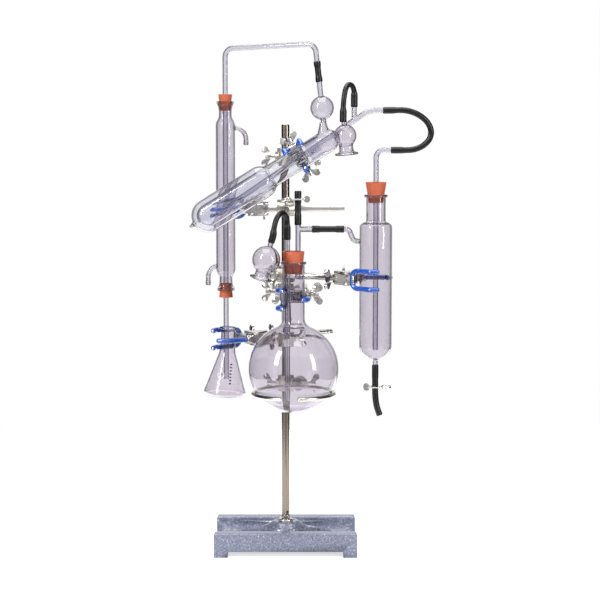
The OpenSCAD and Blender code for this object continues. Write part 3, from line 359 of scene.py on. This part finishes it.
tubes = {  # mm and degrees: radius and bore; bend and corners of each route
    "radius": 4, "bore": 2.7, "sides": 40, "step": 6, "arcStep": 4,
    "condenser_tube": (13, [(47.72, -84, 725), (43.46, -84, 763), (-89, -22, 757), (-89, -22, 264)]),
    "trap_tube": (11, [(168, -80, 609.6), (132.6, -80, 609.6), (132.6, -80, 316)]),
}
for name in ("condenser_tube", "trap_tube"):
    bend, corners = tubes[name]
    corners = [Vector(p) for p in corners]
    route = [corners[0]]
    for before, corner, after in zip(corners, corners[1:], corners[2:]):
        come, go = (corner - before).normalized(), (after - corner).normalized()
        turn = come.angle(go)
        start = corner - come * bend * math.tan(turn / 2)
        side = (go - come * come.dot(go)).normalized()
        count = round((start - route[-1]).length / tubes["step"])
        route += [route[-1].lerp(start, (i + 1) / count) for i in range(count)]
        arcs = math.ceil(math.degrees(turn) / tubes["arcStep"])
        route += [start + bend * (come * math.sin(turn * i / arcs) + side * (1 - math.cos(turn * i / arcs)))
                  for i in range(1, arcs + 1)]
    count = round((corners[-1] - route[-1]).length / tubes["step"])
    route += [route[-1].lerp(corners[-1], (i + 1) / count) for i in range(count)]
    grid = bmesh.new()
    sweptTube(grid, route, lambda w, l: tubes["radius"], lambda w, l: tubes["bore"], tubes["sides"])
    newPiece(name + "Drawn", smoothMesh(name, grid, glasses["Tube"]), frame["nodes"][name]["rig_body"], "glass", name)
print("tubes drawn")

funnels = {  # mm and degrees: end of the stem, lean, stem, radii of bulb, throat and mouth, height of the flare
    "wall": 1.6, "tube": (4, 2.7), "rim": 1.5, "neck": 2.5, "waist": 0.3, "steps": 26, "turns": 72,
    "fillet": ((0.3, 2.4), (2, 0.6)), "lip": (1, 0.3), "innerStep": 1,  # out from the throat, up from the flange
    "filling_funnel": ((-17, -122, 488), (4, 16), 16, 20.5, 10.5, 16.5, 12),
    "sample_funnel": ((84, -116, 662), (2, -5), 14, 16.5, 10.5, 17, 15),
}
for name in ("filling_funnel", "sample_funnel"):
    place, (leanX, leanY), stem, bulb, throat, mouth, flare = funnels[name]
    wall, rim, middle = funnels["wall"], funnels["rim"], -stem - bulb
    tubeOut, tubeIn = funnels["tube"]

    def sweep(radius, first, last, centre=(0, middle)):  # an arc of the outline
        turns = [first + (last - first) * i / funnels["steps"] for i in range(funnels["steps"] + 1)]
        return [(centre[0] + radius * math.cos(t), centre[1] + radius * math.sin(t)) for t in turns]

    foot = middle - bulb * math.sin(math.acos(throat / bulb)) - flare
    flange = foot + 2 * rim
    outer = [(tubeOut, 0)] + sweep(bulb, math.acos(tubeOut / bulb), -math.acos(throat / bulb))
    outer += [(throat - funnels["waist"], foot + flare - funnels["neck"])]
    outer += [(throat + out, flange + up) for out, up in funnels["fillet"]]
    outer += sweep(rim, math.pi / 2, -math.pi / 2, (mouth - rim, foot + rim))
    lipOut, lipUp = funnels["lip"]
    inner = [(throat + lipOut, foot + lipUp), (throat - wall, flange + funnels["innerStep"])]
    hollow = bulb - wall
    inner += reversed(sweep(hollow, math.acos(tubeIn / hollow), -math.acos((throat - wall) / hollow)))
    inner += [(tubeIn, 0)]
    turn = Matrix.Translation(Vector(place))
    turn @= Matrix.Rotation(math.radians(leanY), 4, "Y") @ Matrix.Rotation(math.radians(leanX), 4, "X")
    grid = bmesh.new()
    angles = [2 * math.pi * k / funnels["turns"] for k in range(funnels["turns"])]
    rings = [[grid.verts.new((turn @ Vector((r * math.cos(a), r * math.sin(a), z))) * mm) for a in angles]
             for r, z in outer + inner]
    for here, following in zip(rings, rings[1:] + rings[:1]):
        for k in range(len(angles)):
            n = (k + 1) % len(angles)
            grid.faces.new((here[k], following[k], following[n], here[n]))
    newPiece(name + "Blown", smoothMesh(name, grid, glasses["Blown"]), frame["nodes"][name]["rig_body"], "glass", name)
print("funnels blown")


def newTree(name, **sockets):  # a geometry tree with named inputs
    tree = bpy.data.node_groups.new(name, "GeometryNodeTree")
    tree.interface.new_socket("Geometry", in_out="OUTPUT", socket_type="NodeSocketGeometry")
    for label, kind in {"Geometry": "Geometry", **sockets}.items():
        tree.interface.new_socket(label, in_out="INPUT", socket_type="NodeSocket" + kind)
    return tree, tree.nodes.new("NodeGroupInput").outputs


def closeTree(tree, result, finish):  # real faces with a finish at the end of a tree
    whole = addNode(tree, "GeometryNodeRealizeInstances", {"Geometry": result})
    dressed = addNode(tree, "GeometryNodeSetMaterial", {"Geometry": whole.outputs["Geometry"], "Material": finish})
    addNode(tree, "NodeGroupOutput", {"Geometry": dressed.outputs["Geometry"]})


def grown(name, mesh, tree, **values):  # runs a tree on a mesh and returns a plain mesh
    seed = bpy.data.objects.new(name, mesh)
    scene.collection.objects.link(seed)
    modifier = seed.modifiers.new(tree.name, "NODES")
    modifier.node_group = tree
    for socket in tree.interface.items_tree:
        if socket.in_out == "INPUT" and socket.name in values:
            modifier[socket.identifier] = values[socket.name]
    result = settled(seed)
    bpy.data.objects.remove(seed)
    return result


clamps = {  # mm and degrees: point held in plan, height, side of the rod, radius held, roll
    "offset": 21, "pivot": 12, "grip": 40, "gripGap": 0.3, "prong": 7.6, "prongOff": 4, "bend": 10, "turn": 50,
    "past": 10, "tipRun": 4, "arm": 13, "gap": 26, "skin": 0.12, "bendSteps": 14, "sides": 20, "step": 0.6,
    "vessel": ((21, -84), 514.5 + 133.4 * math.tan(math.radians(32)), 1, 16.8, -58),  # up the slope of the vessel
    "condenser": ((-89, -22), 520.5, 1, 14.5, 0),
    "flask": ((12.3, -95), 393.6, 1, 16.5, 0),
    "trap": ((132.6, -80), 421, -1, 24, 0),
    "receiver": ((-86, -22), 324, -1, 12, 0),
}


def jawPlace(clamp, side):  # the frame of a jaw: on its pin, X along the prong, Y outwards
    (x, y), height, way, radius, roll = clamps[clamp]
    reach = math.sqrt(x * x + y * y - clamps["offset"] ** 2)
    turn = math.atan2(y, x) - math.atan2(-reach, way * clamps["offset"])
    swing = math.asin((radius + clamps["prong"] / 2 + clamps["gripGap"] - clamps["prongOff"])
                      / math.hypot(clamps["pivot"], clamps["grip"])) - math.atan2(clamps["pivot"], clamps["grip"])
    place = Matrix.Translation((0, 0, height)) @ Matrix.Rotation(turn, 4, "Z")
    place @= Matrix.Translation((way * clamps["offset"], clamps["grip"] - reach, 0))
    place @= Matrix.Rotation(-math.pi / 2, 4, "Z")
    place @= Matrix.Rotation(math.radians(roll), 4, "X") @ Matrix.Diagonal((1, side, 1, 1))
    return place @ Matrix.Translation((0, clamps["pivot"], 0)) @ Matrix.Rotation(swing, 4, "Z"), swing


# dipped vinyl along a prong: rounded at its ends, bent where the prong is
dipTree, given = newTree("dippedProng", Radius="Float", Bend="Float", Step="Float")
line = addNode(dipTree, "GeometryNodeMeshToCurve", {"Mesh": given["Geometry"]})
bent = addNode(dipTree, "GeometryNodeFilletCurve", {"Curve": line.outputs["Curve"], "Count": clamps["bendSteps"],
                                                    "Radius": given["Bend"]}, mode="POLY")
fine = addNode(dipTree, "GeometryNodeResampleCurve", {"Curve": bent.outputs["Curve"], "Length": given["Step"]},
               mode="LENGTH")
along = addNode(dipTree, "GeometryNodeSplineParameter").outputs["Length"]
whole = addNode(dipTree, "GeometryNodeSplineLength").outputs["Length"]
rest = addNode(dipTree, "ShaderNodeMath", {0: whole, 1: along}, operation="SUBTRACT")
near = addNode(dipTree, "ShaderNodeMath", {0: along, 1: rest.outputs["Value"]}, operation="MINIMUM")
part = addNode(dipTree, "ShaderNodeMath", {0: near.outputs["Value"], 1: given["Radius"]}, operation="DIVIDE",
               use_clamp=True)
fall = addNode(dipTree, "ShaderNodeMath", {0: 1.0, 1: part.outputs["Value"]}, operation="SUBTRACT").outputs["Value"]
square = addNode(dipTree, "ShaderNodeMath", {0: fall, 1: fall}, operation="MULTIPLY")
left = addNode(dipTree, "ShaderNodeMath", {0: 1.0001, 1: square.outputs["Value"]}, operation="SUBTRACT")  # not below 0
dome = addNode(dipTree, "ShaderNodeMath", {0: left.outputs["Value"]}, operation="SQRT")
ring = addNode(dipTree, "GeometryNodeCurvePrimitiveCircle", {"Resolution": clamps["sides"], "Radius": given["Radius"]})
skin = addNode(dipTree, "GeometryNodeCurveToMesh", {"Curve": fine.outputs["Curve"],
                                                    "Profile Curve": ring.outputs["Curve"],
                                                    "Scale": dome.outputs["Value"], "Fill Caps": True})
soft = addNode(dipTree, "GeometryNodeSetShadeSmooth", {"Geometry": skin.outputs["Mesh"]})
closeTree(dipTree, soft.outputs["Geometry"], blueVinyl)

for clamp in clampNames:
    for kind, side in (("double", -1), ("single", 1)):
        place, swing = jawPlace(clamp, side)
        run = clamps["grip"] * math.cos(swing) - clamps["pivot"] * math.sin(swing) + clamps["past"]
        bendAngle = math.radians(clamps["turn"])
        trim = clamps["bend"] * math.tan(bendAngle / 2)
        tip = trim + clamps["tipRun"] + clamps["prong"] / 2 + clamps["skin"]
        half = clamps["gap"] / 2 if kind == "double" else 0
        prong = [Vector((run + trim + tip * math.cos(bendAngle), clamps["prongOff"] - tip * math.sin(bendAngle), half)),
                 Vector((run + trim, clamps["prongOff"], half)), Vector((clamps["arm"], clamps["prongOff"], half))]
        if kind == "double":
            prong += [Vector((p.x, p.y, -p.z)) for p in reversed(prong)]
        mesh = bpy.data.meshes.new("prongLine")
        mesh.from_pydata([place @ p * mm for p in prong], [(i, i + 1) for i in range(len(prong) - 1)], [])
        sleeve = grown("prongLine", mesh, dipTree, Radius=(clamps["prong"] / 2 + clamps["skin"]) * mm,
                       Bend=clamps["bend"] * mm, Step=clamps["step"] * mm)
        newPiece(f"{clamp}{kind.title()}Vinyl", sleeve, f"{clamp}_{kind}_jaw", "blue_vinyl")
print("prongs dipped")


# marks printed on the receiver's cone: a column of ticks and a white spot for pencil
marks = {  # mm and degrees: point held, foot below it, cone, film and its lift, sizes and places across and up the cone
    "at": (-86, -22, 324), "drop": -85, "lean": 4, "coneFoot": 11, "coneRadius": 29.75, "coneTaper": 0.3217,
    "lift": 0.06, "film": 0.08, "ticks": 7, "pitch": 4.6, "tick": (3.2, 2.0), "tickAt": (7.6, 22),
    "tickSides": 4, "spot": (11, 8), "spotAt": (-7, 33.5), "spotSides": 28,
}
wrapTree, given = newTree("wrappedMarks", Count="Int", Pitch="Float", Across="Float", Up="Float", Radius="Float",
                          Taper="Float", Tilt="Rotation", Place="Vector", Finish="Material")
start = addNode(wrapTree, "ShaderNodeCombineXYZ", {"X": given["Across"], "Z": given["Up"]})
step = addNode(wrapTree, "ShaderNodeCombineXYZ", {"Z": given["Pitch"]})
column = addNode(wrapTree, "GeometryNodeMeshLine", {"Count": given["Count"], "Start Location": start.outputs["Vector"],
                                                    "Offset": step.outputs["Vector"]})
copies = addNode(wrapTree, "GeometryNodeInstanceOnPoints", {"Points": column.outputs["Mesh"],
                                                            "Instance": given["Geometry"]})
flat = addNode(wrapTree, "GeometryNodeRealizeInstances", {"Geometry": copies.outputs["Instances"]})
where = addNode(wrapTree, "GeometryNodeInputPosition")
spot = addNode(wrapTree, "ShaderNodeSeparateXYZ", {"Vector": where.outputs["Position"]}).outputs
narrow = addNode(wrapTree, "ShaderNodeMath", {0: spot["Z"], 1: given["Taper"]}, operation="MULTIPLY")
cone = addNode(wrapTree, "ShaderNodeMath", {0: given["Radius"], 1: narrow.outputs["Value"]}, operation="SUBTRACT")
outside = addNode(wrapTree, "ShaderNodeMath", {0: cone.outputs["Value"], 1: spot["Y"]}, operation="SUBTRACT")
angle = addNode(wrapTree, "ShaderNodeMath", {0: spot["X"], 1: cone.outputs["Value"]}, operation="DIVIDE")
sine = addNode(wrapTree, "ShaderNodeMath", {0: angle.outputs["Value"]}, operation="SINE")
cosine = addNode(wrapTree, "ShaderNodeMath", {0: angle.outputs["Value"]}, operation="COSINE")
bentX = addNode(wrapTree, "ShaderNodeMath", {0: sine.outputs["Value"], 1: outside.outputs["Value"]},
                operation="MULTIPLY")
depth = addNode(wrapTree, "ShaderNodeMath", {0: cosine.outputs["Value"], 1: outside.outputs["Value"]},
                operation="MULTIPLY")
bentY = addNode(wrapTree, "ShaderNodeMath", {0: depth.outputs["Value"], 1: -1.0}, operation="MULTIPLY")
bent = addNode(wrapTree, "ShaderNodeCombineXYZ", {"X": bentX.outputs["Value"], "Y": bentY.outputs["Value"],
                                                  "Z": spot["Z"]})
curved = addNode(wrapTree, "GeometryNodeSetPosition", {"Geometry": flat.outputs["Geometry"],
                                                       "Position": bent.outputs["Vector"]})
laid = addNode(wrapTree, "GeometryNodeTransform", {"Geometry": curved.outputs["Geometry"],
                                                   "Translation": given["Place"], "Rotation": given["Tilt"]})
inked = addNode(wrapTree, "GeometryNodeSetShadeSmooth", {"Geometry": laid.outputs["Geometry"], "Shade Smooth": False})
closeTree(wrapTree, inked.outputs["Geometry"], given["Finish"])

lean = math.radians(marks["lean"])
foot = Vector(marks["at"]) + marks["drop"] * Vector((math.sin(lean), 0, math.cos(lean)))
for name, finish, (width, height), (across, up), count, sides in (
        ("receiverTicks", printGrey, marks["tick"], marks["tickAt"], marks["ticks"], marks["tickSides"]),
        ("receiverSpot", printWhite, marks["spot"], marks["spotAt"], 1, marks["spotSides"])):
    corner, wide = (math.pi / 4, math.sqrt(2)) if sides == marks["tickSides"] else (0, 1)  # a square on its side
    grid = bmesh.new()
    bmesh.ops.create_cone(grid, cap_ends=True, segments=sides, radius1=0.5, radius2=0.5, depth=1,
                          matrix=Matrix.Rotation(math.pi / 2, 4, "X") @ Matrix.Rotation(corner, 4, "Z"))
    bmesh.ops.scale(grid, verts=grid.verts, vec=Vector((width * wide, marks["film"], height * wide)) * mm)
    mark = smoothMesh(name, grid, finish)
    printed = grown(name, mark, wrapTree, Count=count, Pitch=marks["pitch"] * mm, Across=across * mm, Up=up * mm,
                    Radius=(marks["coneRadius"] + marks["coneFoot"] * marks["coneTaper"] + marks["lift"]) * mm,
                    Taper=marks["coneTaper"], Tilt=(0, lean, 0), Place=foot * mm, Finish=finish)
    newPiece(name, printed, frame["nodes"]["receiver_flask"]["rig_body"], "glass")
print("receiver marked")


lamps = [  # place and aim in mm, width and height in mm, watts
    {"name": "keyLamp", "at": (-1500, -1500, 1500), "aim": (0, 0, 400), "size": (500, 1500), "power": 44},
    {"name": "fillLamp", "at": (1700, -1300, 1000), "aim": (0, 0, 400), "size": (400, 1500), "power": 24},
    {"name": "topLamp", "at": (0, 100, 2100), "aim": (0, 0, 300), "size": (1400, 2000), "power": 42},
]
for lamp in lamps:
    light = bpy.data.lights.new(lamp["name"], "AREA")
    light.shape = "RECTANGLE"
    light.size, light.size_y = (s * mm for s in lamp["size"])
    light.energy = lamp["power"]
    aimed(bpy.data.objects.new(lamp["name"], light), lamp["at"], lamp["aim"])

# white sweep behind the bench, dark flags at its sides so that glass shows its edges, and a grey room in front for
# the metal
surroundings = {  # axis of the direction looked in, where on it the level starts and ends to change, and both levels
    "sweep": ("Y", 0.92, 0.978, 0.03, 1.0), "wings": ("Y", 0.62, 0.72, 0.0, 0.3),
    "room": ("Y", -0.2, -0.5, 0.0, 1.0), "rise": ("Z", -0.35, 0.55, 0.3, 0.8),
}
world = bpy.data.worlds.new("studio")
scene.world = world
world.use_nodes = True
tree = world.node_tree
sky = tree.nodes["Background"]
where = addNode(tree, "ShaderNodeTexCoord")
split = addNode(tree, "ShaderNodeSeparateXYZ", {"Vector": where.outputs["Generated"]})
levels = {}
for label, (axis, start, end, low, high) in surroundings.items():
    ramp = addNode(tree, "ShaderNodeMapRange", {"Value": split.outputs[axis], "From Min": start, "From Max": end,
                                                "To Min": low, "To Max": high}, interpolation_type="SMOOTHSTEP")
    levels[label] = ramp.outputs["Result"]
path = addNode(tree, "ShaderNodeLightPath")
behind = addNode(tree, "ShaderNodeMath", {0: levels["sweep"], 1: levels["wings"]}, operation="MAXIMUM")
room = addNode(tree, "ShaderNodeMath", {0: levels["room"], 1: levels["rise"]}, operation="MULTIPLY")
strength = addNode(tree, "ShaderNodeMath", {0: behind.outputs["Value"], 1: path.outputs["Is Camera Ray"]},
                   operation="MAXIMUM")
strength = addNode(tree, "ShaderNodeMath", {0: strength.outputs["Value"], 1: room.outputs["Value"]},
                   operation="MAXIMUM")
tree.links.new(strength.outputs["Value"], sky.inputs["Strength"])
sky.inputs["Color"].default_value = hexLinear("#ffffff")

# matt white paper under the stand: it takes a soft shadow and fades into the sweep
bench = {"left": -800, "right": 800, "front": -700, "back": 1000, "dimTo": 300, "whiteFrom": 700,  # mm
         "dim": 0.62, "inGlass": 0.45}  # levels near the stand and as seen through or in the glass and metal
floorMesh = bpy.data.meshes.new("floor")
corners = [("left", "front"), ("right", "front"), ("right", "back"), ("left", "back")]
floorMesh.from_pydata([(bench[x] * mm, bench[y] * mm, 0) for x, y in corners], [], [(0, 1, 2, 3)])
paper, tree, shader, place = newFinish("whitePaper", Base_Color=hexLinear("#f4f4f3"), Roughness=0.9,
                                       Emission_Color=hexLinear("#ffffff"))
path = addNode(tree, "ShaderNodeLightPath")
indirect = addNode(tree, "ShaderNodeMath", {0: path.outputs["Is Transmission Ray"], 1: path.outputs["Is Glossy Ray"]},
                   operation="MAXIMUM")
indirect = addNode(tree, "ShaderNodeMath", {0: indirect.outputs["Value"], 1: bench["inGlass"]}, operation="MULTIPLY")
seen = addNode(tree, "ShaderNodeMath", {0: indirect.outputs["Value"], 1: path.outputs["Is Camera Ray"]},
               operation="MAXIMUM")
away = addNode(tree, "ShaderNodeVectorMath", {0: place}, operation="LENGTH")
level = addNode(tree, "ShaderNodeMapRange", {"Value": away.outputs["Value"], "From Min": bench["dimTo"] * mm,
                                             "From Max": bench["whiteFrom"] * mm, "To Min": bench["dim"],
                                             "To Max": 1.0}, interpolation_type="SMOOTHSTEP")
glow = addNode(tree, "ShaderNodeMath", {0: seen.outputs["Value"], 1: level.outputs["Result"]}, operation="MULTIPLY")
tree.links.new(glow.outputs["Value"], shader.inputs["Emission Strength"])
floorMesh.materials.append(paper)
floor = bpy.data.objects.new("floor", floorMesh)
scene.collection.objects.link(floor)
print("stage set")
